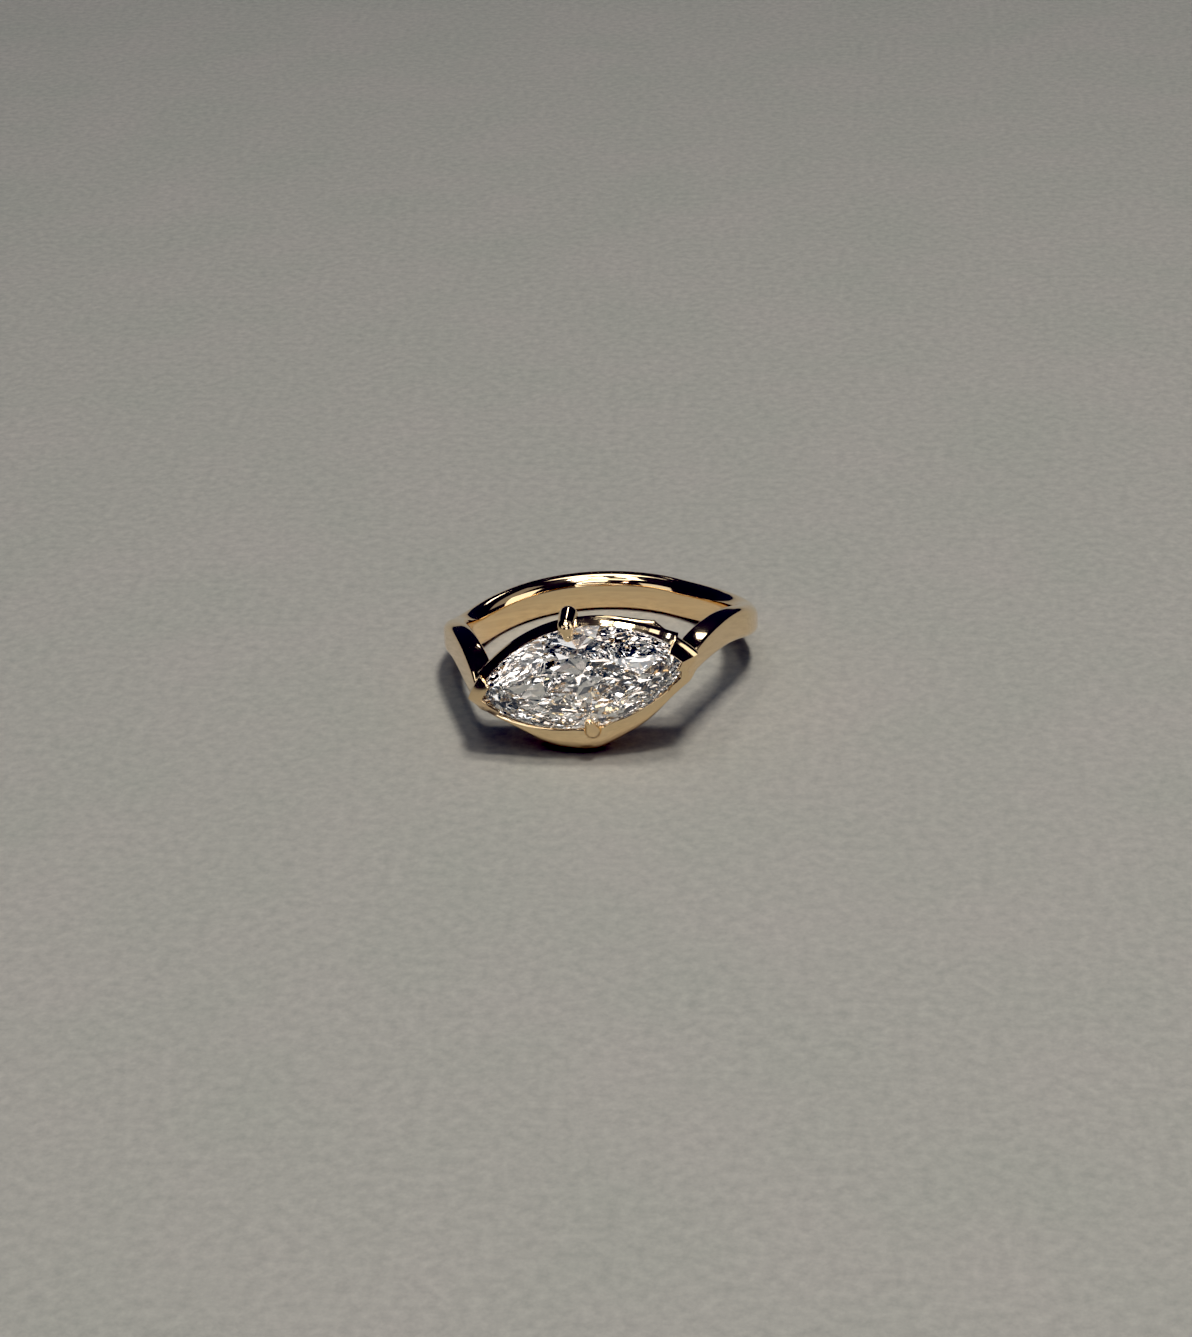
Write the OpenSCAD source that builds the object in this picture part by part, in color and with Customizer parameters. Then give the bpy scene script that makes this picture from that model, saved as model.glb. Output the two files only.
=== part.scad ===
// Marquise engagement ring, lying on its side on a flat surface.
// The finger axis is vertical, the stone faces -Y and its long axis runs nearly along X.
// The origin is on the surface, at the middle of the ring's overall size.

/* [Finger hole and band] */
// Inside diameter of the ring, US size 6
finger_d = 16.5; // [15:0.1:20]
// Thickness of the back of the band, from the finger outwards
wall = 1.75; // [1.75:0.05:2.1]
// Depth of the band's lower face under the stone, from its outer face inwards
belly_depth = 3.6; // [2.8:0.1:3.6]
// Distance from the finger axis to the band's outer face under the stone
face_reach = 12.0; // [11.6:0.1:12.6]
// Angle from the middle of the face to each point of the band
point_angle = 28.0; // [27:0.5:29]
// Rounding of the band's edges
edge_round = 0.5; // [0.3:0.02:0.6]

/* [Stone] */
// Length of the stone, from point to point
stone_length = 13.2; // [12.6:0.1:13.2]
// Width of the stone
stone_width = 6.7; // [6.2:0.1:6.7]
// Slant of the stone's long axis against the surface
stone_slant = 12.6; // [11:0.2:13]
// Height of the stone's middle over the surface
stone_height = 5.6; // [5.4:0.05:5.8]
// Height of the crown, from the girdle to the table
crown_height = 0.95; // [0.8:0.05:1.1]
// Depth of the pavilion, from the girdle to the culet
pavilion_depth = 3.15; // [2.7:0.05:3.2]
// Thickness of the girdle
girdle = 0.16; // [0.12:0.01:0.2]
// Length of the table as a share of the stone's length
table_share = 0.56; // [0.5:0.01:0.62]

/* [Setting] */
// Clearance between the stone and the metal
seat_gap = 0.04; // [0.03:0.01:0.08]
// Thickness of the metal that folds round each point of the stone
point_wall = 0.46; // [0.36:0.02:0.5]
// Length of a pointed claw along the edge of the stone
point_claw_length = 1.3; // [1.1:0.1:1.6]
// Diameter of the two round claws
round_claw_d = 1.04; // [0.9:0.02:1.1]
// Width of the gallery rail next to the stone
rail_width = 0.36; // [0.32:0.02:0.44]
// Depth of the gallery rail next to the stone
rail_depth = 0.75; // [0.6:0.05:0.9]

/* [Hidden] */

finger_r = finger_d / 2;
band_r = finger_r + wall;
point_r = face_reach / cos(point_angle);
// The arms leave the round band along straight lines to the points
tangent_angle = point_angle + acos(band_r / point_r);
// The stone stands out on one side, so the finger axis lies behind the origin by this much
axis_shift = (face_reach + girdle / 2 + crown_height - band_r) / 2;

// The band around the finger, in mm
ANGLE = 0;   // from the middle of the face, right side positive
BOTTOM = 1;  // height of the lower face over the surface
TOP = 2;     // height of the upper face
UNDER = 3;   // rounding between the outer and the lower face
OVER = 4;    // rounding between the outer and the upper face
THICK = 5;   // thickness of the arms and of the back
INSIDE = 6;  // how far in from the hole the upper face begins to fall
DROP = 7;    // how deep it falls there
band_rows = [
    // angle, bottom, top, under, over, thick, inside, drop
    [-180, 0.00, 2.46, 0.75, 0.98, 1.75, 0.74, 0.80],
    [-150, 0.00, 2.46, 0.75, 0.98, 1.75, 0.74, 0.80],
    [-125, 0.00, 2.46, 0.75, 0.98, 1.75, 0.74, 0.75],
    [-110, 0.15, 2.60, 0.75, 0.98, 1.75, 0.74, 0.65],
    [-97, 0.70, 3.10, 0.75, 0.90, 1.70, 0.75, 0.55],
    [-80, 1.90, 4.18, 0.70, 0.65, 1.55, 0.70, 0.42],
    [-62, 2.70, 5.12, 0.60, 0.34, 1.35, 0.60, 0.30],
    [-45, 2.90, 5.45, 0.50, 0.24, 1.35, 0.40, 0.20],
    [-33, 3.00, 5.10, 0.50, 0.24, 1.45, 0.24, 0.12],
    [-27, 3.05, 4.30, 0.50, 0.20, 1.50, 0.24, 0.16],
    [-20, 2.20, 3.50, 0.85, 0.16, 1.60, 0.30, 0.24],
    [-12, 0.80, 2.60, 1.10, 0.16, 1.70, 0.34, 0.34],
    [-6, 0.20, 2.25, 1.25, 0.16, 1.75, 0.34, 0.34],
    [0, 0.00, 2.10, 1.30, 0.16, 1.75, 0.34, 0.34],
    [5, 0.24, 2.30, 1.30, 0.16, 1.75, 0.34, 0.34],
    [12, 1.20, 3.20, 1.20, 0.16, 1.70, 0.34, 0.34],
    [19, 2.50, 4.40, 0.95, 0.16, 1.60, 0.30, 0.24],
    [27, 4.80, 6.30, 0.50, 0.20, 1.50, 0.24, 0.16],
    [30, 5.10, 6.35, 0.42, 0.20, 1.45, 0.20, 0.12],
    [33, 5.35, 6.90, 0.40, 0.20, 1.45, 0.20, 0.12],
    [50, 4.90, 6.85, 0.40, 0.24, 1.25, 0.24, 0.14],
    [65, 4.15, 6.35, 0.50, 0.34, 1.20, 0.50, 0.24],
    [80, 3.15, 5.40, 0.70, 0.65, 1.50, 0.70, 0.42],
    [97, 1.95, 4.26, 0.75, 0.90, 1.70, 0.75, 0.60],
    [112, 1.10, 3.50, 0.75, 0.98, 1.75, 0.74, 0.75],
    [128, 0.40, 2.86, 0.75, 0.98, 1.75, 0.74, 0.80],
    [145, 0.03, 2.48, 0.75, 0.98, 1.75, 0.74, 0.80],
    [160, 0.00, 2.46, 0.75, 0.98, 1.75, 0.74, 0.80],
    [180, 0.00, 2.46, 0.75, 0.98, 1.75, 0.74, 0.80],
];
band_step = 2;
corner_sharpness = 4; // per mm, for the rounded plan of the band at the stone's points
corner_steps = 4;
spread_full = 22; // the lower face is at its deepest as far as this angle from the middle
spread_end = 42; // and back to the arms' own thickness at this one
keel_depth = 0.6; // how much deeper than high the rounding under the middle of the belly is

// The marquise outline is two equal arcs that meet at the points
half_length = stone_length / 2;
half_width = stone_width / 2;
arc_r = (half_length * half_length + half_width * half_width) / (2 * half_width);
arc_rise = arc_r - half_width;
arc_half_angle = asin(half_length / arc_r);
mm_per_degree = arc_r * PI / 180;

// Crown of the stone: eight main facets, with two girdle facets for each
mains = 8;
girdle_facets = 16;
girdle_points = 3; // points on the girdle's curve for each girdle facet
star_height = 0.46; // height of the star facets' lower points, share of the crown

// Pavilion of the stone: rows of small facets, and eight main facets round the culet
SHARE = 0; // size of a row of facet corners, against the girdle
DEPTH = 1; // its depth under the girdle, share of the pavilion
pavilion_rows = [
    // share, depth
    [0.84, 0.19],
    [0.66, 0.38],
    [0.46, 0.58],
];
row_points = girdle_facets * girdle_points / 2;
stray_out = 0.035; // how far the corners stray in and out, so that the facets sparkle
stray_down = 0.022; // the same for their depth

// Setting sizes that follow from the ones above
claw_r = round_claw_d / 2;
claw_tip_r = 0.3;
claw_bend = 0.32; // height over the girdle at which a round claw bends in over the stone
high_claw_foot = 1.25; // depth of the upper round claw's foot under the girdle
high_claw_out = 0.3; // how far the upper round claw stands out from the stone's edge
low_claw_shift = 0.2; // the lower round claw stands this far left of the stone's middle
post_r = 0.23; // posts of the basket; the rail nearest the finger is as thick
basket_depth = 2.1; // from the girdle to the back of the basket
basket_lean = 0.45; // how far the back rail stands in from the stone's outline
post_foot = 2.6; // distance of a post's foot from the stone's point, along the outline
post_head = 0.5; // the same for its upper end, under a pointed claw
rail_end = 1.2; // the same for the ends of the rail next to the stone
rail_top = -0.1; // top of that rail over the middle of the girdle
rail_flare = 0.22; // how much wider it is at its ends
rail_slim = 0.5; // share of its width that it loses in the middle of its right half
post_out_left = -0.25; // how far the foot of the left post stands out from the stone's outline
post_out_right = -0.1; // the same for the right post, which shows above the rail
post_top = -0.25; // height of a post's upper end, inside the pointed claw
cap_high = 0.55; // top of a pointed claw over the middle of the girdle
cap_side = 0.06; // top of its outer half
cap_low = -0.6; // lower end of its wall
cap_cover = 0.34; // how far a pointed claw covers the stone's edge
claw_facets = 20;

// Smooth value of a column at an angle, with slopes taken from the rows on each side
function row_below(a, k = 0) =
    (k >= len(band_rows) - 2 || a < band_rows[k + 1][ANGLE]) ? k : row_below(a, k + 1);
function row_slope(k, col) = (k <= 0 || k >= len(band_rows) - 1) ? 0 :
    (band_rows[k + 1][col] - band_rows[k - 1][col]) / (band_rows[k + 1][ANGLE] - band_rows[k - 1][ANGLE]);
function blend_rows(k, t, span, col) =
    band_rows[k][col] * (1 + 2 * t) * (1 - t) * (1 - t)
    + band_rows[k + 1][col] * t * t * (3 - 2 * t)
    + span * t * (1 - t) * (row_slope(k, col) * (1 - t) - row_slope(k + 1, col) * t);
function band_value_at(a, col, k) =
    let (span = band_rows[k + 1][ANGLE] - band_rows[k][ANGLE])
    blend_rows(k, (a - band_rows[k][ANGLE]) / span, span, col);
function band_value(a, col) = band_value_at(a, col, row_below(a));

// Outer and inner distance from the finger axis
function soft_min(p, q) = -ln(exp(-corner_sharpness * p) + exp(-corner_sharpness * q)) / corner_sharpness;
function outer_r(a) = abs(a) >= tangent_angle ? band_r :
    soft_min(face_reach / cos(a), band_r / cos(tangent_angle - abs(a)));
function arm_inner_r(a) =
    max(finger_r, outer_r(a) - band_value(a, THICK) / cos(max(tangent_angle - abs(a), 0)));
// How far in the lower face goes: under the stone it spreads in, nearly to the finger
function inner_r(a) =
    let (
        t = min(1, max(0, (abs(a) - spread_full) / (spread_end - spread_full))),
        spread_r = max(finger_r, face_reach - belly_depth)
    )
    spread_r + (arm_inner_r(a) - spread_r) * t * t * (3 - 2 * t);

// Lower edge of the stone, in mm over the surface, at a distance across from its middle;
// the slant moves the edge's points sideways, most of all in the middle
function seat_drop(u) = sqrt(arc_r * arc_r - min(u * u, half_length * half_length)) - arc_rise;
function seat_line(x) =
    let (
        sideways = 0.6 * half_width * sin(stone_slant) * (1 - pow(x / (1.18 * half_length), 2)),
        u = x * cos(stone_slant) - sideways
    )
    stone_height + u * sin(stone_slant) - seat_drop(u) * cos(stone_slant);
function band_top(a) =
    let (x = face_reach * tan(a))
    abs(a) < point_angle - 3 ? min(band_value(a, TOP), seat_line(x) - seat_gap) : band_value(a, TOP);

// One rounded cross-section of the band, at an angle around the finger
function corner(r, z, dr, dz, from) = [
    for (i = [0 : corner_steps])
        let (t = from + 90 * i / corner_steps) [r + dr * cos(t), z + dz * sin(t)]
];
function band_section(a) =
    let (
        ri = inner_r(a), rt = arm_inner_r(a), ro = outer_r(a),
        zb = max(0, band_value(a, BOTTOM)), zt = band_top(a),
        e = edge_round, over = band_value(a, OVER),
        under = min(band_value(a, UNDER), (zt - zb) * 0.62),
        keel = under * (1 + keel_depth * max(0, 1 - abs(a) / point_angle)),
        inside = band_value(a, INSIDE), drop = band_value(a, DROP)
    )
    concat(
        corner(ro - keel, zb + under, keel, under, -90),
        corner(ro - over, zt - over, over, over, 0),
        corner(rt + inside, zt - drop, inside, drop, 90),
        corner(ri + e, zb + e, e, e, 180)
    );
function around(a, p) = [p[0] * sin(a), -p[0] * cos(a), p[1]];

module band() {
    angles = [for (a = [-180 : band_step : 179]) a];
    size = 4 * (corner_steps + 1);
    count = len(angles);
    points = [for (a = angles) each [for (p = band_section(a)) around(a, p)]];
    faces = [
        for (i = [0 : count - 1], j = [0 : size - 1])
            let (
                p = i * size + j, q = i * size + (j + 1) % size,
                r = ((i + 1) % count) * size + (j + 1) % size, s = ((i + 1) % count) * size + j
            )
            each [[p, q, r], [p, r, s]]
    ];
    polyhedron(points, faces);
}

// Places what is drawn flat, with the stone's length along X and its table up, in the ring
module at_stone() {
    translate([0, -face_reach, stone_height]) rotate([90, 0, 0]) rotate([0, 0, stone_slant]) children();
}

// A point of the marquise outline moved outwards; side is 1 on the upper arc and -1 on the lower
function arc_point(t, side, out = 0) =
    [(arc_r + out) * sin(t), side * ((arc_r + out) * cos(t) - arc_rise)];
function tip_angle(out) = acos(arc_rise / (arc_r + out));
// Angle of the arc at a distance from the stone's right-hand point
function along_arc(distance) = arc_half_angle - distance / mm_per_degree;

// Strip along the upper side of the stone as far as an angle of the arc each way; its inner and
// outer edges move outwards towards its ends by [left end, right end]; slim is the share of the
// width that it loses in the middle of its right half
module upper_strip(end, out0, out1, low, high, move0, move1, slim = 0) {
    steps = 20;
    function edge(i, out, move) =
        let (s = i / steps, lost = slim * out * sin(180 * max(0, s)))
        arc_point(s * end, 1, out - lost + pow(s, 6) * (s > 0 ? move[1] : move[0]));
    outline = concat(
        [for (i = [-steps : steps]) edge(i, out1, move1)],
        [for (i = [steps : -1 : -steps]) edge(i, out0, move0)]
    );
    translate([0, 0, low]) linear_extrude(high - low) polygon(outline);
}

// V-shaped piece round the right-hand point; up and down are its lengths along the two arcs
module point_strip(up, down, out0, out1, low, high) {
    steps = 5;
    up_t = along_arc(up);
    down_t = along_arc(down);
    outline = concat(
        [for (i = [0 : steps]) arc_point(up_t + (tip_angle(out1) - up_t) * i / steps, 1, out1)],
        [for (i = [steps - 1 : -1 : 0])
            arc_point(down_t + (tip_angle(out1) - down_t) * i / steps, -1, out1)],
        [for (i = [0 : steps]) arc_point(down_t + (tip_angle(out0) - down_t) * i / steps, -1, out0)],
        [for (i = [steps - 1 : -1 : 0]) arc_point(up_t + (tip_angle(out0) - up_t) * i / steps, 1, out0)]
    );
    translate([0, 0, low]) linear_extrude(high - low) polygon(outline);
}

// Bar between two points of the setting
module bar(from, to, r0, r1) {
    hull() {
        translate(from) sphere(r0, $fn = claw_facets);
        translate(to) sphere(r1, $fn = claw_facets);
    }
}

// Pointed claw at the right-hand point of the stone, with the post that carries it: the length of
// its lower arm, and how far the post's foot stands out
module point_claw(down, post_out) {
    point_strip(point_claw_length, down, -cap_cover, point_wall, cap_low, cap_side);
    point_strip(point_claw_length - 0.04, down - 0.04, -cap_cover + 0.02, point_wall / 2,
        cap_side - 0.3, cap_high);
    foot = raise(arc_point(along_arc(post_foot), 1, post_out), post_r - basket_depth);
    head = raise(arc_point(along_arc(post_head), 1, 0), cap_low);
    top = raise(arc_point(along_arc(post_head), 1, point_wall / 2), post_top);
    bar(foot, head, post_r, post_r);
    bar(head, top, post_r, point_wall / 2);
}

// Round claw over the upper edge of the stone: how deep its foot is, how far its bend stands
// out from the edge, and how far in over the crown and how high its tip is
module round_claw(foot_depth, out, reach, tip_height) {
    foot = [0, half_width + out, -foot_depth];
    bend = [0, half_width + out, claw_bend];
    tip = [0, half_width - reach, tip_height];
    bar(foot, bend, claw_r * 1.1, claw_r);
    bar(bend, tip, claw_r, claw_tip_r);
}

// Two rails along the upper side of the stone, and the post between them
module gallery() {
    upper_strip(along_arc(rail_end), 0, rail_width, rail_top - rail_depth, rail_top,
        [0, 0], [rail_flare, rail_flare], rail_slim);
    bow = [post_out_left + basket_lean, post_out_right + basket_lean];
    upper_strip(along_arc(post_foot), -basket_lean - post_r, -basket_lean + post_r,
        -basket_depth, 2 * post_r - basket_depth, bow, bow);
    foot = [0, half_width - basket_lean, post_r - basket_depth];
    bar(foot, [0, half_width + high_claw_out, -high_claw_foot], post_r, post_r);
}

module setting() {
    gallery();
    round_claw(high_claw_foot, high_claw_out, 0.25, 0.56);
    translate([-low_claw_shift, 0, 0]) mirror([0, 1, 0]) round_claw(0.3, 0.08, 0.6, 0.66);
    point_claw(0.9, post_out_right);
    mirror([1, 0, 0]) point_claw(1.6, post_out_left);
}

module band_and_setting() {
    seat_scale = [1 + seat_gap / half_length, 1 + seat_gap / half_width, 1 + seat_gap];
    color("goldenrod") translate([0, axis_shift, 0]) difference() {
        union() {
            band();
            at_stone() setting();
        }
        at_stone() scale(seat_scale) cut_stone();
    }
}

// Point k of the girdle, counted along the outline from the right-hand point over the top
function girdle_side(k) = k <= girdle_facets / 2 ? 1 : -1;
function girdle_angle(k) = k <= girdle_facets / 2 ?
    arc_half_angle * (1 - 4 * k / girdle_facets) : arc_half_angle * (4 * k / girdle_facets - 3);
function girdle_at(k) = arc_point(girdle_angle(k), girdle_side(k));
// Direction of the outline there; straight across at the two points
function girdle_way(k) = k % (girdle_facets / 2) == 0 ? [0, 1, 0] :
    [cos(girdle_angle(k)), -girdle_side(k) * sin(girdle_angle(k)), 0];

function raise(p, w) = [p[0], p[1], w];
// Where the planes through a, with normals m and n, cross at height w; b is a point of the second
function crossing(a, m, b, n, w) =
    let (
        e = m * a - m[2] * w, f = n * b - n[2] * w, det = m[0] * n[1] - m[1] * n[0]
    )
    [(e * n[1] - f * m[1]) / det, (m[0] * f - n[0] * e) / det, w];

// Uneven but steady value between -1 and 1 for each corner of the pavilion's facets
function stray(i, row) = sin(137.5 * (i + 1) * (2 * row + 3) + 71 * row);
// The outline with straight sides between the main facets' edges
function eight_sided_at(k) =
    let (c = 2 * floor((k - 1) / 2) + 1, t = (k - c) / 2)
    girdle_at((c + girdle_facets) % girdle_facets) * (1 - t) + girdle_at((c + 2) % girdle_facets) * t;
// Corner i of a row; every second row is turned by half a facet, and the last one is even
function pavilion_point(i, row) =
    let (
        k = (i + (row % 2 == 0 ? 0.5 : 0)) * girdle_facets / row_points,
        last = row == len(pavilion_rows) - 1,
        share = pavilion_rows[row][SHARE] + (last ? 0 : stray_out * stray(i, row)),
        depth = pavilion_rows[row][DEPTH] + (last ? 0 : stray_down * stray(i, row + 7))
    )
    raise((last ? eight_sided_at(k) : girdle_at(k)) * share, -girdle / 2 - pavilion_depth * depth);

// Facets of the pavilion; the first two numbers are where the points of the girdle's lower
// edge and of the rows begin in the list
function pavilion_faces(girdle_from, rows_from, culet) =
    let (n = row_points, rows = len(pavilion_rows))
    concat(
        [for (i = [0 : n - 1])
            let (
                a = girdle_from + 2 * i, b = a + 1, c = girdle_from + (2 * i + 2) % (2 * n),
                d = rows_from + i, e = rows_from + (i + 1) % n
            )
            each [[a, b, d], [b, c, d], [d, c, e]]],
        [for (row = [1 : rows - 1], i = [0 : n - 1])
            let (
                turn = row % 2, above = rows_from + (row - 1) * n, below = above + n,
                a = above + (i - turn + n) % n, b = above + (i + 1 - turn) % n,
                d = below + i, e = below + (i + 1) % n
            )
            each [[a, b, d], [d, b, e]]],
        [for (i = [0 : n - 1])
            [rows_from + (rows - 1) * n + i, rows_from + (rows - 1) * n + (i + 1) % n, culet]]
    );

module cut_stone() {
    top_w = girdle / 2;
    table_w = top_w + crown_height;
    low_w = -girdle / 2;
    star_w = top_w + star_height * crown_height;

    rim = [for (j = [0 : mains]) raise(girdle_at((2 * j) % girdle_facets), top_w)];
    way = [for (j = [0 : mains]) girdle_way((2 * j) % girdle_facets)];
    table = [for (j = [0 : mains]) raise(rim[j] * table_share, table_w)];
    crown_n = [for (j = [0 : mains]) cross(way[j], table[j] - rim[j])];
    star = [for (j = [0 : mains - 1])
        crossing(rim[j], crown_n[j], rim[j + 1], crown_n[j + 1], star_w)];

    // The girdle's upper edge curves where each girdle facet's plane meets the outline
    count = girdle_facets * girdle_points;
    function facet_w(k) =
        let (
            f = floor(k), p = girdle_at(k), a = raise(girdle_at(f), top_w),
            b = raise(girdle_at((f + 1) % girdle_facets), top_w), n = cross(b - a, star[floor(f / 2)] - a)
        )
        a[2] - (n[0] * (p[0] - a[0]) + n[1] * (p[1] - a[1])) / n[2];
    upper = [for (i = [0 : count - 1])
        let (k = i / girdle_points) raise(girdle_at(k), facet_w(k))];
    lower = [for (i = [0 : count - 1]) raise(girdle_at(i / girdle_points), low_w)];
    rows = [for (row = [0 : len(pavilion_rows) - 1], i = [0 : row_points - 1]) pavilion_point(i, row)];

    table_at = 2 * count;
    star_at = table_at + mains;
    rows_at = star_at + mains;
    main_points = 2 * girdle_points;
    points = concat(
        upper, lower, [for (j = [0 : mains - 1]) table[j]], star, rows, [[0, 0, low_w - pavilion_depth]]
    );
    faces = concat(
        [[for (j = [mains - 1 : -1 : 0]) table_at + j]],
        [for (j = [0 : mains - 1]) [table_at + j, table_at + (j + 1) % mains, star_at + j]],
        [for (j = [0 : mains - 1])
            [table_at + j, star_at + j, j * main_points, star_at + (j + mains - 1) % mains]],
        [for (f = [0 : girdle_facets - 1])
            concat([star_at + floor(f / 2)],
                [for (i = [girdle_points : -1 : 0]) (f * girdle_points + i) % count])],
        [for (i = [0 : count - 1]) [i, (i + 1) % count, count + (i + 1) % count, count + i]],
        pavilion_faces(count, rows_at, len(points) - 1)
    );
    polyhedron(points, faces);
}

module marquise_stone() {
    color("lightcyan") translate([0, axis_shift, 0]) at_stone() cut_stone();
}

band_and_setting();
marquise_stone();
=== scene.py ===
"""Marquise engagement ring in yellow gold, lying on its side on plain paper."""

import math

import bmesh
import bpy
from mathutils import Matrix, Vector

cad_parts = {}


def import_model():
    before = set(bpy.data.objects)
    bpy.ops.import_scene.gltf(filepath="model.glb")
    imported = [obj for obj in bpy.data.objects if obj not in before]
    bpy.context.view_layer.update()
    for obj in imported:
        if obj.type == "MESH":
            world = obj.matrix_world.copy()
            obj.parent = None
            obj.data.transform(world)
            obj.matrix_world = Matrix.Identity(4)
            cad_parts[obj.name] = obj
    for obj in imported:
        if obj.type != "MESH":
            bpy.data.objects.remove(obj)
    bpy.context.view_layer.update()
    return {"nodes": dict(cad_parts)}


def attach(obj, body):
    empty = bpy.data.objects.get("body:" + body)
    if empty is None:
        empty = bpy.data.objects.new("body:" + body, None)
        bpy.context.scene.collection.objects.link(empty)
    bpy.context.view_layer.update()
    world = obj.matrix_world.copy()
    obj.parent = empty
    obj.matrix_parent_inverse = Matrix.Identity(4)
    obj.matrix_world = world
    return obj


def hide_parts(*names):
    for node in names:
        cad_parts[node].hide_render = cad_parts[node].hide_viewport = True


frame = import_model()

MM = 0.001

# Sizes in millimetres, the same as in the part's source. The band and the belly under the stone:
FINGER_R = 8.25
WALL = 1.75
BAND_R = FINGER_R + WALL
BELLY_DEPTH = 3.6
FACE_REACH = 12.0
POINT_ANGLE = math.radians(28.0)
SPREAD_FULL = math.radians(22.0)
SPREAD_END = math.radians(42.0)
EDGE_ROUND = 0.5
CORNER_SHARPNESS = 4.0
KEEL_DEPTH = 0.6

# The stone
STONE_LENGTH = 13.2
STONE_WIDTH = 6.7
STONE_SLANT = math.radians(12.6)
STONE_HEIGHT = 5.6
CROWN_HEIGHT = 0.95
GIRDLE = 0.16
SEAT_GAP = 0.04

# The pointed claws: the wall round the point, the arms' lengths along the stone's edge, and the
# heights and the fold of the roof-like cap
POINT_WALL = 0.46
POINT_CLAW_LENGTH = 1.3
LOW_ARM_RIGHT = 0.9
LOW_ARM_LEFT = 1.6
CAP_HIGH = 0.55
CAP_TIP = 0.42
CAP_FOLD = -0.26
CAP_SIDE = -0.14
CAP_LOW = -0.6
CAP_COVER = 0.34

# The round claws
CLAW_R = 0.52
CLAW_TIP_R = 0.3
CLAW_BEND = 0.32
HIGH_CLAW_FOOT = 1.25
HIGH_CLAW_OUT = 0.3
LOW_CLAW_SHIFT = 0.2

# The gallery rail along the stone's upper side
RAIL_WIDTH = 0.36
RAIL_DEPTH = 0.75
RAIL_END = 1.2
RAIL_TOP = -0.1
RAIL_FLARE = 0.22
RAIL_SLIM = 0.5
RAIL_SLOPE = 0.30
RAIL_SLOPE_LEFT = 0.50

# The back rail and the posts between the two rails
BASKET_DEPTH = 2.1
BASKET_LEAN = 0.45
POST_R = 0.23
POST_FOOT = 2.6
POST_HEAD = 0.5
POST_TOP = -0.25
POST_OUT_LEFT = -0.25
POST_OUT_RIGHT = -0.1

POINT_R = FACE_REACH / math.cos(POINT_ANGLE)
TANGENT_ANGLE = POINT_ANGLE + math.acos(BAND_R / POINT_R)
AXIS_SHIFT = (FACE_REACH + GIRDLE / 2 + CROWN_HEIGHT - BAND_R) / 2

HALF_LENGTH = STONE_LENGTH / 2
HALF_WIDTH = STONE_WIDTH / 2
ARC_R = (HALF_LENGTH**2 + HALF_WIDTH**2) / (2 * HALF_WIDTH)
ARC_RISE = ARC_R - HALF_WIDTH
ARC_HALF_ANGLE = math.asin(HALF_LENGTH / ARC_R)

# The band around the finger: its lower and upper faces, the rounding of its outer edges, its
# thickness, and how far in from the hole and how deep its upper face falls
ANGLE, BOTTOM, TOP, UNDER, OVER, THICK, INSIDE, DROP = range(8)
BAND_ROWS = [
    # angle, bottom, top, under, over, thick, inside, drop
    (-180, 0.00, 2.46, 0.75, 0.98, 1.75, 0.74, 0.80),
    (-150, 0.00, 2.46, 0.75, 0.98, 1.75, 0.74, 0.80),
    (-125, 0.00, 2.46, 0.75, 0.98, 1.75, 0.74, 0.75),
    (-110, 0.15, 2.60, 0.75, 0.98, 1.75, 0.74, 0.65),
    (-97, 0.70, 3.10, 0.75, 0.90, 1.70, 0.75, 0.55),
    (-80, 1.90, 4.18, 0.70, 0.65, 1.55, 0.70, 0.42),
    (-62, 2.70, 5.12, 0.60, 0.34, 1.35, 0.60, 0.30),
    (-45, 2.90, 5.45, 0.50, 0.24, 1.35, 0.40, 0.20),
    (-33, 3.00, 5.10, 0.50, 0.24, 1.45, 0.24, 0.12),
    (-27, 3.05, 4.30, 0.50, 0.20, 1.50, 0.24, 0.16),
    (-20, 2.20, 3.50, 0.85, 0.16, 1.60, 0.30, 0.24),
    (-12, 0.80, 2.60, 1.10, 0.16, 1.70, 0.34, 0.34),
    (-6, 0.20, 2.25, 1.25, 0.16, 1.75, 0.34, 0.34),
    (0, 0.00, 2.10, 1.30, 0.16, 1.75, 0.34, 0.34),
    (5, 0.24, 2.30, 1.30, 0.16, 1.75, 0.34, 0.34),
    (12, 1.20, 3.20, 1.20, 0.16, 1.70, 0.34, 0.34),
    (19, 2.50, 4.40, 0.95, 0.16, 1.60, 0.30, 0.24),
    (27, 4.80, 6.30, 0.50, 0.20, 1.50, 0.24, 0.16),
    (30, 5.10, 6.35, 0.42, 0.20, 1.45, 0.20, 0.12),
    (33, 5.35, 6.90, 0.40, 0.20, 1.45, 0.20, 0.12),
    (50, 4.90, 6.85, 0.40, 0.24, 1.25, 0.24, 0.14),
    (65, 4.15, 6.35, 0.50, 0.34, 1.20, 0.50, 0.24),
    (80, 3.15, 5.40, 0.70, 0.65, 1.50, 0.70, 0.42),
    (97, 1.95, 4.26, 0.75, 0.90, 1.70, 0.75, 0.60),
    (112, 1.10, 3.50, 0.75, 0.98, 1.75, 0.74, 0.75),
    (128, 0.40, 2.86, 0.75, 0.98, 1.75, 0.74, 0.80),
    (145, 0.03, 2.48, 0.75, 0.98, 1.75, 0.74, 0.80),
    (160, 0.00, 2.46, 0.75, 0.98, 1.75, 0.74, 0.80),
    (180, 0.00, 2.46, 0.75, 0.98, 1.75, 0.74, 0.80),
]


def row_slope(k, col):
    """How fast a column changes with the angle at a row; level at both ends of the table."""
    if k <= 0 or k >= len(BAND_ROWS) - 1:
        return 0.0
    before, after = BAND_ROWS[k - 1], BAND_ROWS[k + 1]
    return (after[col] - before[col]) / (after[ANGLE] - before[ANGLE])


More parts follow.
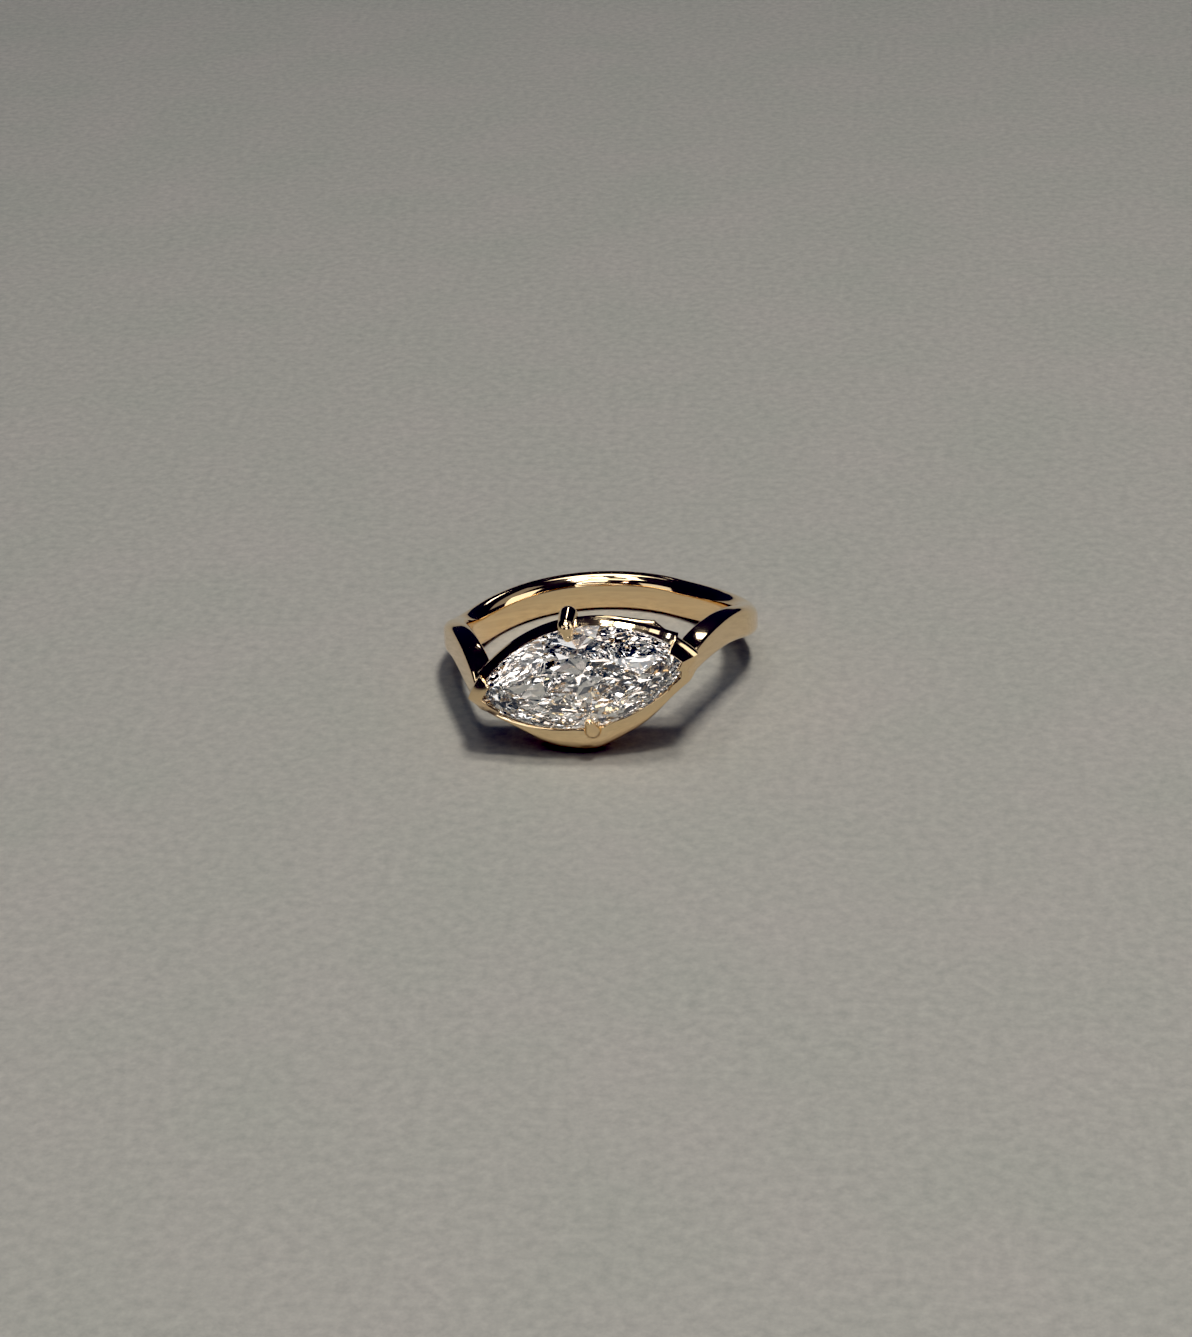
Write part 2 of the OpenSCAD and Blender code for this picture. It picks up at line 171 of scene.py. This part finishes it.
def band_value(degrees, col):
    """A column's smooth value at an angle."""
    k = max(i for i in range(len(BAND_ROWS) - 1) if i == 0 or BAND_ROWS[i][ANGLE] <= degrees)
    low, high = BAND_ROWS[k], BAND_ROWS[k + 1]
    span = high[ANGLE] - low[ANGLE]
    t = (degrees - low[ANGLE]) / span
    return (
        low[col] * (1 + 2 * t) * (1 - t) ** 2
        + high[col] * t * t * (3 - 2 * t)
        + span * t * (1 - t) * (row_slope(k, col) * (1 - t) - row_slope(k + 1, col) * t)
    )


def outer_r(a):
    """Outer face: the round band, then straight arms to a flat face, with rounded corners."""
    if abs(a) >= TANGENT_ANGLE:
        return BAND_R
    p, q = FACE_REACH / math.cos(a), BAND_R / math.cos(TANGENT_ANGLE - abs(a))
    return -math.log(math.exp(-CORNER_SHARPNESS * p) + math.exp(-CORNER_SHARPNESS * q)) / CORNER_SHARPNESS


def arm_inner_r(a):
    """Inner face of the band and of the arms, which part from the finger hole."""
    thick = band_value(math.degrees(a), THICK)
    return max(FINGER_R, outer_r(a) - thick / math.cos(max(TANGENT_ANGLE - abs(a), 0.0)))


def inner_r(a):
    """How far in the lower face goes: under the stone it spreads in towards the finger."""
    t = min(1.0, max(0.0, (abs(a) - SPREAD_FULL) / (SPREAD_END - SPREAD_FULL)))
    spread_r = max(FINGER_R, FACE_REACH - BELLY_DEPTH)
    return spread_r + (arm_inner_r(a) - spread_r) * t * t * (3 - 2 * t)


def seat_line(x):
    """Height of the stone's lower edge at a place across the ring."""
    sideways = 0.6 * HALF_WIDTH * math.sin(STONE_SLANT) * (1 - (x / (1.18 * HALF_LENGTH)) ** 2)
    u = x * math.cos(STONE_SLANT) - sideways
    drop = math.sqrt(ARC_R**2 - min(u * u, HALF_LENGTH**2)) - ARC_RISE
    return STONE_HEIGHT + u * math.sin(STONE_SLANT) - drop * math.cos(STONE_SLANT)


def band_top(a):
    """Height of the upper face, which stays under the stone's lower edge."""
    top = band_value(math.degrees(a), TOP)
    if abs(a) < POINT_ANGLE - math.radians(3):
        top = min(top, seat_line(FACE_REACH * math.tan(a)) - SEAT_GAP)
    return top


def arc_corner(r, z, size, start, steps, flat=1.0):
    """A quarter of a circle in a cross-section, or of an ellipse, with its ends."""
    return [
        (r + size * math.cos(t), z + size * flat * math.sin(t))
        for t in (math.radians(start + 90.0 * i / steps) for i in range(steps + 1))
    ]


def band_section(a, steps=8):
    """The band's cross-section at an angle, as (distance from the finger axis, height) pairs."""
    ri, rt, ro = inner_r(a), arm_inner_r(a), outer_r(a)
    zb, zt = max(0.0, band_value(math.degrees(a), BOTTOM)), band_top(a)
    under = min(band_value(math.degrees(a), UNDER), (zt - zb) * 0.62)
    keel = under * (1 + KEEL_DEPTH * max(0.0, 1 - abs(a) / POINT_ANGLE))
    over = band_value(math.degrees(a), OVER)
    inside, drop = band_value(math.degrees(a), INSIDE), band_value(math.degrees(a), DROP)
    e = EDGE_ROUND
    return (
        arc_corner(ro - keel, zb + under, keel, -90, steps, under / keel)
        + arc_corner(ro - over, zt - over, over, 0, steps)
        + arc_corner(rt + inside, zt - drop, inside, 90, steps, drop / inside)
        + arc_corner(ri + e, zb + e, e, 180, steps)
    )


def mesh_object(name, verts, faces):
    """A closed mesh from points in millimetres."""
    mesh = bpy.data.meshes.new(name)
    mesh.from_pydata([Vector(v) * MM for v in verts], [], faces)
    bm = bmesh.new()
    bm.from_mesh(mesh)
    bmesh.ops.remove_doubles(bm, verts=bm.verts, dist=1e-7)
    bmesh.ops.recalc_face_normals(bm, faces=bm.faces)
    bm.to_mesh(mesh)
    bm.free()
    obj = bpy.data.objects.new(name, mesh)
    bpy.context.scene.collection.objects.link(obj)
    return obj


def loft(name, rings, closed):
    """Joins equal rings of points; an open loft gets flat ends."""
    size = len(rings[0])
    verts = [p for ring in rings for p in ring]
    last = len(rings) if closed else len(rings) - 1
    faces = []
    for i in range(last):
        a, b = i * size, ((i + 1) % len(rings)) * size
        faces += [(a + j, a + (j + 1) % size, b + (j + 1) % size, b + j) for j in range(size)]
    if not closed:
        faces += [tuple(range(size)), tuple(range(len(verts) - size, len(verts)))]
    return mesh_object(name, verts, faces)


def band():
    """The closed band, one cross-section a degree."""
    rings = []
    for i in range(360):
        a = math.radians(i - 180)
        rings.append([(r * math.sin(a), -r * math.cos(a), z) for r, z in band_section(a)])
    return loft("band", rings, closed=True)


# Places what is drawn with the stone's length along X and its table up
AT_STONE = (
    Matrix.Translation((0, -FACE_REACH, STONE_HEIGHT))
    @ Matrix.Rotation(math.pi / 2, 4, "X")
    @ Matrix.Rotation(STONE_SLANT, 4, "Z")
)


def at_stone(points):
    return [AT_STONE @ Vector(p) for p in points]


def arc_point(t, side, out, w):
    """A point near the stone's edge, in the stone's own directions.

    t is the angle on the arc of the upper (side 1) or lower (side -1) edge, out is how far
    outside the edge it is, and w how far in front of the girdle.
    """
    return ((ARC_R + out) * math.sin(t), side * ((ARC_R + out) * math.cos(t) - ARC_RISE), w)


def along_arc(distance):
    """Angle of the arc at a distance from the stone's right-hand point."""
    return ARC_HALF_ANGLE - distance / ARC_R


def tip_angle(out):
    """Angle at which the two edges' arcs meet when both are moved that far out."""
    return math.acos(ARC_RISE / (ARC_R + out))


def rounded_box(low_out, high_out, low_w, high_w, r, steps=4):
    """A rounded rectangle across a rail, as (out, w) pairs."""
    return (
        arc_corner(high_out - r, high_w - r, r, 0, steps)
        + arc_corner(low_out + r, high_w - r, r, 90, steps)
        + arc_corner(low_out + r, low_w + r, r, 180, steps)
        + arc_corner(high_out - r, low_w + r, r, 270, steps)
    )


def rail(name, end, section, flare, fall=None):
    """Rail along the stone's upper side; flare moves a point outwards and fall lowers it."""
    steps = 72
    rings = []
    for i in range(steps + 1):
        s = 2 * i / steps - 1
        lower = [fall(out, w, s) if fall else 0.0 for out, w in section]
        rings.append(at_stone([
            arc_point(s * end, 1, out + flare(out, s), w - down)
            for (out, w), down in zip(section, lower)
        ]))
    return loft(name, rings, closed=False)


def widen(out, s):
    """The upper rail flares at its ends and is slimmer along its right half."""
    slim = RAIL_SLIM * math.sin(math.pi * max(0.0, s))
    return RAIL_FLARE * s**6 * out / RAIL_WIDTH - slim * out


def slope(out, w, s):
    """The top of the rail slopes outwards, most of all at its left end."""
    leftwards = min(1.0, max(0.0, (0.3 - s) / 0.8))
    fall = RAIL_SLOPE + (RAIL_SLOPE_LEFT - RAIL_SLOPE) * leftwards
    return fall * out / RAIL_WIDTH if w > RAIL_TOP - 0.1 else 0.0


def bow(out, s):
    """The back rail bends out at its ends to meet the posts."""
    return ((POST_OUT_RIGHT if s > 0 else POST_OUT_LEFT) + BASKET_LEAN) * s**6


def point_claw(name, up, down, mirror):
    """V-shaped claw round a point of the stone, folded like a roof along its middle."""
    section = [
        (-CAP_COVER, CAP_TIP),
        (CAP_FOLD, CAP_HIGH),
        (POINT_WALL, CAP_SIDE),
        (POINT_WALL, CAP_LOW),
        (-CAP_COVER, CAP_LOW),
    ]
    steps = 10
    rings = []
    for side, length in ((1, up), (-1, down)):
        arm = []
        for i in range(steps + 1):
            ring = []
            for out, w in section:
                t = along_arc(length) + (tip_angle(out) - along_arc(length)) * i / steps
                x, y, w = arc_point(t, side, out, w)
                ring.append((mirror * x, y, w))
            arm.append(at_stone(ring))
        rings += arm if side == 1 else arm[-2::-1]
    obj = loft(name, rings, closed=False)
    soften(obj, width=0.03, segments=2, degrees=25)
    return obj


def soften(obj, width, segments, degrees):
    """Bevels the edges that turn by more than some degrees."""
    bevel = obj.modifiers.new("bevel", "BEVEL")
    bevel.width = width * MM
    bevel.segments = segments
    bevel.limit_method = "ANGLE"
    bevel.angle_limit = math.radians(degrees)
    apply(obj)


def apply(obj):
    """Replaces the mesh by the one that its modifiers give."""
    graph = bpy.context.evaluated_depsgraph_get()
    mesh = bpy.data.meshes.new_from_object(obj.evaluated_get(graph))
    obj.modifiers.clear()
    obj.data = mesh


def tube(name, points, radii, sides=28):
    """Round bar through points, with rounded ends, in the stone's own directions."""
    points = [Vector(p) for p in points]
    path, sizes = [], []
    caps, pinhole = 7, 0.002
    first, last = (points[1] - points[0]).normalized(), (points[-1] - points[-2]).normalized()
    for i in range(caps):
        t = math.pi / 2 * i / caps
        path.append(points[0] - first * radii[0] * math.cos(t))
        sizes.append(max(radii[0] * math.sin(t), pinhole))
    path += points
    sizes += radii
    for i in range(1, caps + 1):
        t = math.pi / 2 * i / caps
        path.append(points[-1] + last * radii[-1] * math.sin(t))
        sizes.append(max(radii[-1] * math.cos(t), pinhole))
    rings = []
    side = Vector((1, 0, 0))
    for i, (p, r) in enumerate(zip(path, sizes)):
        ahead, behind = path[min(i + 1, len(path) - 1)], path[max(i - 1, 0)]
        way = (ahead - behind).normalized()
        across = (side - way * side.dot(way)).normalized()
        other = way.cross(across)
        ring = []
        for j in range(sides):
            t = 2 * math.pi * j / sides
            ring.append(p + across * r * math.cos(t) + other * r * math.sin(t))
        rings.append(at_stone(ring))
    return loft(name, rings, closed=False)


def smooth_path(points, radii, steps=8):
    """Points of a curve through three or more points, with the radii blended along it."""
    points = [Vector(p) for p in points]
    out, sizes = [], []
    for k in range(len(points) - 1):
        before, after = points[max(k - 1, 0)], points[min(k + 2, len(points) - 1)]
        m0, m1 = (points[k + 1] - before) / 2, (after - points[k]) / 2
        for i in range(steps):
            t = i / steps
            out.append(
                points[k] * (1 + 2 * t) * (1 - t) ** 2 + m0 * t * (1 - t) ** 2
                + points[k + 1] * t * t * (3 - 2 * t) + m1 * t * t * (t - 1)
            )
            sizes.append(radii[k] + (radii[k + 1] - radii[k]) * t * t * (3 - 2 * t))
    return out + [points[-1]], sizes + [radii[-1]]


def round_claw(name, x, side, foot_depth, out, reach, tip_height):
    """Round claw that stands beside the stone and bends in over its crown."""
    edge = HALF_WIDTH + out
    points = [(x, side * edge, -foot_depth), (x, side * edge, CLAW_BEND - 0.25),
              (x, side * (edge - 0.05), CLAW_BEND), (x, side * (HALF_WIDTH - reach), tip_height)]
    radii = [CLAW_R * 1.1, CLAW_R * 1.02, CLAW_R, CLAW_TIP_R]
    return tube(name, *smooth_path(points, radii))


def post(name, mirror, foot, head, top):
    """Post from the back rail up to a pointed claw."""
    points = [(mirror * p[0], p[1], p[2]) for p in (foot, head, top)]
    return tube(name, points, [POST_R, POST_R, POINT_WALL / 2], sides=20)


def setting():
    """All the metal round the stone apart from the band."""
    right_foot = arc_point(along_arc(POST_FOOT), 1, POST_OUT_RIGHT, POST_R - BASKET_DEPTH)
    left_foot = arc_point(along_arc(POST_FOOT), 1, POST_OUT_LEFT, POST_R - BASKET_DEPTH)
    head = arc_point(along_arc(POST_HEAD), 1, 0, CAP_LOW)
    top = arc_point(along_arc(POST_HEAD), 1, POINT_WALL / 2, POST_TOP)
    lean = BASKET_LEAN
    base = RAIL_TOP - RAIL_DEPTH
    upper = [
        (0, RAIL_TOP), (0.5 * RAIL_WIDTH, RAIL_TOP), (RAIL_WIDTH, RAIL_TOP),
        (RAIL_WIDTH, base), (0, base),
    ]
    lower = rounded_box(-lean - POST_R, -lean + POST_R, -BASKET_DEPTH, 2 * POST_R - BASKET_DEPTH, 0.18)
    middle = [
        (0, HALF_WIDTH - lean, POST_R - BASKET_DEPTH),
        (0, HALF_WIDTH + HIGH_CLAW_OUT, -HIGH_CLAW_FOOT),
    ]
    return [
        rail("rail", along_arc(RAIL_END), upper, widen, slope),
        rail("back_rail", along_arc(POST_FOOT), lower, bow),
        tube("middle_post", middle, [POST_R, POST_R], sides=20),
        point_claw("right_point_claw", POINT_CLAW_LENGTH, LOW_ARM_RIGHT, 1),
        point_claw("left_point_claw", POINT_CLAW_LENGTH, LOW_ARM_LEFT, -1),
        post("right_post", 1, right_foot, head, top),
        post("left_post", -1, left_foot, head, top),
        round_claw("high_claw", 0, 1, HIGH_CLAW_FOOT, HIGH_CLAW_OUT, 0.25, 0.56),
        round_claw("low_claw", -LOW_CLAW_SHIFT, -1, 0.3, 0.08, 0.6, 0.66),
    ]


def boolean(obj, other, operation):
    modifier = obj.modifiers.new("boolean", "BOOLEAN")
    modifier.operation = operation
    modifier.object = other
    modifier.solver = "MANIFOLD"
    apply(obj)


def seat_cutter():
    """The stone, a hair larger, as the tool that cuts the seat."""
    stone = frame["nodes"]["marquise_stone"]
    cutter = bpy.data.objects.new("seat_cutter", stone.data.copy())
    bpy.context.scene.collection.objects.link(cutter)
    bm = bmesh.new()
    bm.from_mesh(cutter.data)
    bmesh.ops.remove_doubles(bm, verts=bm.verts, dist=1e-7)
    grow = 0.03 * MM
    middle = Vector((0, (AXIS_SHIFT - FACE_REACH) * MM, STONE_HEIGHT * MM))
    across = AT_STONE.to_3x3()
    factors = (1 + grow / (HALF_LENGTH * MM), 1 + grow / (HALF_WIDTH * MM), 1 + grow / MM)
    for v in bm.verts:
        p = across.inverted() @ (v.co - middle)
        v.co = middle + across @ Vector([c * f for c, f in zip(p, factors)])
    bm.to_mesh(cutter.data)
    bm.free()
    return cutter


def gold_ring():
    """The band and the setting as one mesh, with the stone's seat cut out."""
    ring = band()
    pieces = setting()
    for piece in pieces:
        boolean(ring, piece, "UNION")
    ring.data.transform(Matrix.Translation((0, AXIS_SHIFT * MM, 0)))
    cutter = seat_cutter()
    boolean(ring, cutter, "DIFFERENCE")
    for obj in pieces + [cutter]:
        bpy.data.objects.remove(obj)
    ring.name = ring.data.name = "gold_ring"
    for face in ring.data.polygons:
        face.use_smooth = True
    ring.data.set_sharp_from_angle(angle=math.radians(32))
    return ring


def principled(name):
    """A new material with its node tree and its shader."""
    material = bpy.data.materials.new(name)
    material.use_nodes = True
    return material, material.node_tree, material.node_tree.nodes["Principled BSDF"]


def noise(tree, scale, detail, roughness=0.5):
    """Noise in the object's own space; the scale is per metre."""
    place = tree.nodes.new("ShaderNodeTexCoord")
    made = tree.nodes.new("ShaderNodeTexNoise")
    made.inputs["Scale"].default_value = scale
    made.inputs["Detail"].default_value = detail
    made.inputs["Roughness"].default_value = roughness
    tree.links.new(place.outputs["Object"], made.inputs["Vector"])
    return made


def spread(tree, source, low, high):
    """Stretches the middle part of a noise over a range."""
    made = tree.nodes.new("ShaderNodeMapRange")
    for key, value in (("From Min", 0.3), ("From Max", 0.7), ("To Min", low), ("To Max", high)):
        made.inputs[key].default_value = value
    tree.links.new(source, made.inputs["Value"])
    return made.outputs["Result"]


def blend_colours(tree, factor, first, second):
    made = tree.nodes.new("ShaderNodeMix")
    made.data_type = "RGBA"
    made.inputs[6].default_value = (*first, 1)
    made.inputs[7].default_value = (*second, 1)
    tree.links.new(factor, made.inputs[0])
    return made.outputs[2]


def roughen(tree, shader, source, strength, distance):
    """Lets a noise raise the surface by up to a distance in metres."""
    bump = tree.nodes.new("ShaderNodeBump")
    bump.inputs["Strength"].default_value = strength
    bump.inputs["Distance"].default_value = distance
    tree.links.new(source, bump.inputs["Height"])
    tree.links.new(bump.outputs["Normal"], shader.inputs["Normal"])


def gold():
    """Polished yellow gold with faint polishing marks and finger haze."""
    material, tree, shader = principled("polished_gold")
    shader.inputs["Metallic"].default_value = 1.0
    haze = noise(tree, 450.0, 3.0)
    marks = noise(tree, 5200.0, 4.0, 0.6)
    patches = spread(tree, haze.outputs["Fac"], 0, 1)
    colour = blend_colours(tree, patches, (0.97, 0.745, 0.455), (1.0, 0.785, 0.495))
    tree.links.new(colour, shader.inputs["Base Color"])
    tree.links.new(spread(tree, haze.outputs["Fac"], 0.045, 0.085), shader.inputs["Roughness"])
    roughen(tree, shader, marks.outputs["Fac"], strength=0.05, distance=0.00001)
    return material


def diamond():
    """Clear, bright, nearly colourless stone."""
    material, tree, shader = principled("diamond")
    shader.inputs["Base Color"].default_value = (0.99, 0.99, 1.0, 1)
    shader.inputs["Roughness"].default_value = 0.0
    shader.inputs["IOR"].default_value = 2.417
    shader.inputs["Transmission Weight"].default_value = 1.0
    return material


def paper():
    """Warm grey paper with a fine mottled grain."""
    material, tree, shader = principled("paper")
    shader.inputs["Roughness"].default_value = 0.9
    shader.inputs["Specular IOR Level"].default_value = 0.2
    broad = noise(tree, 90.0, 3.0)
    grain = noise(tree, 1400.0, 4.0, 0.65)
    patches = spread(tree, broad.outputs["Fac"], 0, 1)
    base = blend_colours(tree, patches, (0.50, 0.489, 0.425), (0.53, 0.499, 0.444))
    specks = spread(tree, grain.outputs["Fac"], 0, 1)
    shade = blend_colours(tree, specks, (0.86, 0.86, 0.86), (1.08, 1.08, 1.08))
    both = tree.nodes.new("ShaderNodeMix")
    both.data_type = "RGBA"
    both.blend_type = "MULTIPLY"
    both.inputs[0].default_value = 1.0
    tree.links.new(base, both.inputs[6])
    tree.links.new(shade, both.inputs[7])
    tree.links.new(both.outputs[2], shader.inputs["Base Color"])
    roughen(tree, shader, grain.outputs["Fac"], strength=0.25, distance=0.0001)
    return material


def floor():
    """The paper, a hair under the ring."""
    s, z = 1.2, -1e-5
    mesh = bpy.data.meshes.new("paper_floor")
    mesh.from_pydata([(-s, -s, z), (s, -s, z), (s, s, z), (-s, s, z)], [], [(0, 1, 2, 3)])
    obj = bpy.data.objects.new("paper_floor", mesh)
    bpy.context.scene.collection.objects.link(obj)
    obj.data.materials.append(paper())


def direction(azimuth, elevation):
    """From the ring outwards; azimuth 0 is towards the camera's side, 90 to the right, 180 behind."""
    a, e = math.radians(azimuth), math.radians(elevation)
    return Vector((math.sin(a) * math.cos(e), -math.cos(a) * math.cos(e), math.sin(e)))


RING_MIDDLE = Vector((0, AXIS_SHIFT * MM, 3 * MM))
# Lights: where they stand as seen from the ring, how large they are and how bright their faces are.
# Some are cards that only show in the polished gold and in the stone, or in the stone alone, and
# one is a faint bluish fill for the shadows on the paper.
LIGHTS = [
    # name, azimuth, elevation, distance, width, height, brightness, colour, where it shows
    ("key", 60, 79, 0.60, 0.08, 0.08, 37.2, (1.00, 0.97, 0.93), "everywhere"),
    ("key_front", 34, 69, 0.60, 0.07, 0.07, 69.1, (1.00, 0.97, 0.93), "everywhere"),
    ("key_left", -75, 79, 0.60, 0.08, 0.08, 8.8, (1.00, 0.97, 0.93), "everywhere"),
    ("front_high", 3, 58, 0.50, 0.34, 0.13, 1.4, (1.00, 0.98, 0.96), "everywhere"),
    ("glint_left", -50, 70, 0.60, 0.06, 0.06, 7.3, (1.00, 0.97, 0.93), "gold and stone"),
    ("glint_middle", 5, 74, 0.60, 0.05, 0.05, 17.2, (1.00, 0.97, 0.93), "gold and stone"),
    ("glint_high", 22, 81, 0.60, 0.08, 0.08, 9.1, (1.00, 0.97, 0.93), "gold and stone"),
    ("glint_front", 10, 42, 0.50, 0.16, 0.1, 2.5, (1.00, 0.96, 0.94), "gold and stone"),
    ("glint_blue", 24, 34, 0.60, 0.04, 0.04, 14, (0.72, 0.84, 1.00), "gold and stone"),
    ("glint_rose", -18, 31, 0.60, 0.035, 0.035, 14, (1.00, 0.74, 0.66), "gold and stone"),
    ("glint_white", 0, 68, 0.60, 0.05, 0.05, 12, (1.00, 0.98, 0.94), "gold and stone"),
    ("top", -172, 70, 0.60, 0.2, 0.26, 2.2, (1.00, 0.99, 0.96), "gold and stone"),
    ("back_spot", -178, 31, 0.60, 0.05, 0.035, 5, (1.00, 0.99, 0.96), "gold and stone"),
    ("right_window", 82, 20, 0.50, 0.28, 0.4, 1.15, (1.00, 0.97, 0.93), "gold and stone"),
    ("right_back", 113, 45, 0.50, 0.26, 0.36, 0.2, (1.00, 0.97, 0.92), "gold and stone"),
    ("front_left", -40, 60, 0.60, 0.1, 0.08, 3, (1.00, 0.98, 0.95), "gold and stone"),
    ("left_card", -46, 20, 0.50, 0.24, 0.22, 0.7, (1.00, 0.97, 0.92), "gold and stone"),
    ("front_low", 14, 14, 0.50, 0.22, 0.2, 1.6, (0.96, 0.98, 1.00), "gold and stone"),
    ("paper_fill", 0, 90, 0.50, 2.4, 2.4, 0.09, (0.74, 0.85, 1.00), "paper"),
    ("stone_ceiling", 0, 90, 0.50, 2.4, 2.4, 1.3, (1.00, 0.84, 0.72), "stone"),
    ("stone_back", -150, 45, 0.50, 0.3, 0.4, 1.6, (1.00, 0.84, 0.72), "stone"),
    ("stone_front", 15, 45, 0.50, 0.6, 0.45, 1.8, (1.00, 0.84, 0.72), "stone"),
]


def light(name, azimuth, elevation, distance, width, height, brightness, colour, shows):
    """An area light that faces the ring; sizes and distance are in metres."""
    data = bpy.data.lights.new(name, "AREA")
    data.shape = "RECTANGLE"
    data.size, data.size_y = width, height
    data.energy = brightness * math.pi * width * height
    data.color = colour
    obj = bpy.data.objects.new(name, data)
    bpy.context.scene.collection.objects.link(obj)
    way = direction(azimuth, elevation)
    obj.location = RING_MIDDLE + way * distance
    obj.rotation_euler = way.to_track_quat("Z", "Y").to_euler()
    obj.visible_diffuse = shows in ("everywhere", "paper")
    obj.visible_glossy = shows in ("everywhere", "gold and stone")
    obj.visible_transmission = shows != "paper"


def world():
    """The room's faint light, which shows in the gold and in the stone alone."""
    made = bpy.data.worlds.new("room")
    made.use_nodes = True
    back = made.node_tree.nodes["Background"]
    back.inputs["Color"].default_value = (1.0, 0.97, 0.95, 1)
    back.inputs["Strength"].default_value = 0.045
    bpy.context.scene.world = made
    made.cycles_visibility.diffuse = False


def camera():
    """The photograph's view, fitted to the outlines of the band and of the stone."""
    azimuth, elevation, roll, distance = 6.0, 27.5, math.radians(2.3), 0.200
    # In pixels of the photograph: the focal length, the height and the shift of the view
    focal, height, shift_x, shift_y = 3120.0, 1337.0, -6.5, -0.5
    toward = direction(azimuth, elevation)
    a = math.radians(azimuth)
    right = Vector((math.cos(a), math.sin(a), 0))
    up = toward.cross(right)
    x = right * math.cos(roll) - up * math.sin(roll)
    y = right * math.sin(roll) + up * math.cos(roll)
    data = bpy.data.cameras.new("camera")
    data.lens = focal / height * 36.0
    data.sensor_width = 36.0
    data.sensor_fit = "AUTO"
    data.shift_x, data.shift_y = shift_x / height, shift_y / height
    data.clip_start, data.clip_end = 0.005, 10.0
    obj = bpy.data.objects.new("camera", data)
    bpy.context.scene.collection.objects.link(obj)
    place = Vector((0, AXIS_SHIFT * MM, 0)) + toward * distance
    obj.matrix_world = Matrix.Translation(place) @ Matrix((x, y, toward)).transposed().to_4x4()
    bpy.context.scene.camera = obj


def look():
    """How the picture is exposed, and how far light is followed through the stone."""
    scene = bpy.context.scene
    view = scene.view_settings
    view.view_transform = "Standard"
    # The photograph's own contrast: its darkest shadows are nearly black
    view.use_curve_mapping = True
    view.curve_mapping.black_level = (0.045, 0.037, 0.019)
    view.curve_mapping.update()
    view.exposure = 0.10
    scene.cycles.max_bounces = 24
    scene.cycles.transmission_bounces = 24
    scene.cycles.glossy_bounces = 12
    scene.cycles.sample_clamp_indirect = 8.0
    scene.cycles.use_denoising = True


camera()
world()
for row in LIGHTS:
    light(*row)
floor()
look()

ring = gold_ring()
ring.data.materials.clear()
ring.data.materials.append(gold())
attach(ring, "root")
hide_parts("band_and_setting")

stone = frame["nodes"]["marquise_stone"]
stone_look = diamond()
for slot in stone.material_slots:
    slot.material = stone_look
